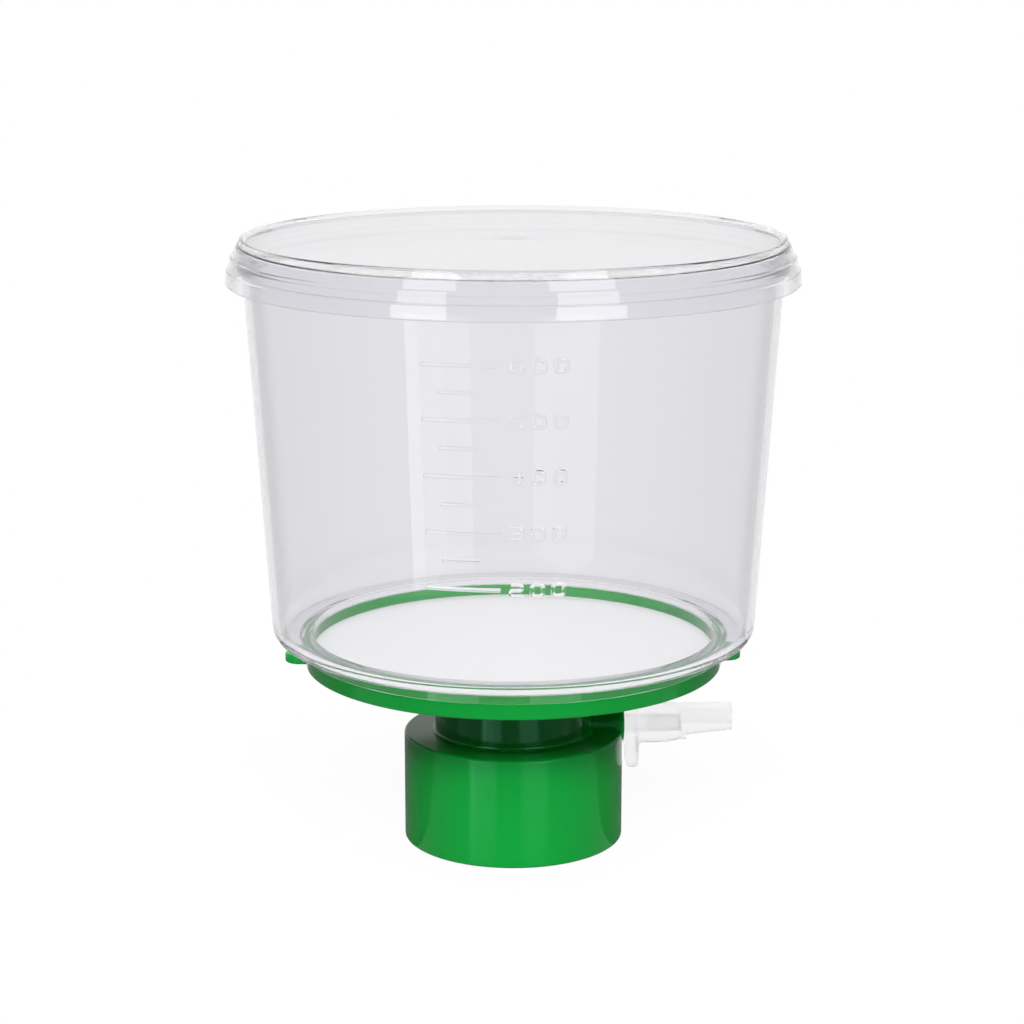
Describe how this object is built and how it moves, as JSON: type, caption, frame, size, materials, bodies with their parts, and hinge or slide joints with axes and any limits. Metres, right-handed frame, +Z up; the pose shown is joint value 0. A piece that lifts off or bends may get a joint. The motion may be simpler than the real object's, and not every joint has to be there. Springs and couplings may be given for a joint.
{
  "type": "bottle-top vacuum filter",
  "caption": "Clear graduated filter cup with push-on lid on a green base that holds a membrane, screws onto a bottle neck and takes a vacuum hose adapter.",
  "frame": {"origin": "centre of the collar's bottom face", "axes": "+Z up the cup's axis towards the lid, +X along the hose adapter towards its nose"},
  "size_m": [0.122, 0.122, 0.133],
  "materials": {
    "green_plastic": "glossy moulded",
    "seal_rubber": "matte translucent",
    "membrane_film": "matte",
    "clear_cup": "clear polished",
    "clear_lid": "clear polished",
    "white_plastic": "satin translucent",
    "filter_fibre": "matte fibrous"
  },
  "bodies": {
    "unit": {"base": "green_plastic", "neck_gasket": "seal_rubber", "membrane": "membrane_film", "funnel": "clear_cup"},
    "lid": {"lid": "clear_lid"},
    "adapter": {"hose_adapter": "white_plastic", "air_filter": "filter_fibre"}
  },
  "joints": [
    {"name": "lid_lift", "type": "slide", "parent": "unit", "child": "lid", "axis": [0, 0, 1], "range_m": [0, 0.04]},
    {"name": "adapter_pull", "type": "slide", "parent": "unit", "child": "adapter", "axis": [1, 0, 0], "range_m": [0, 0.02]}
  ]
}
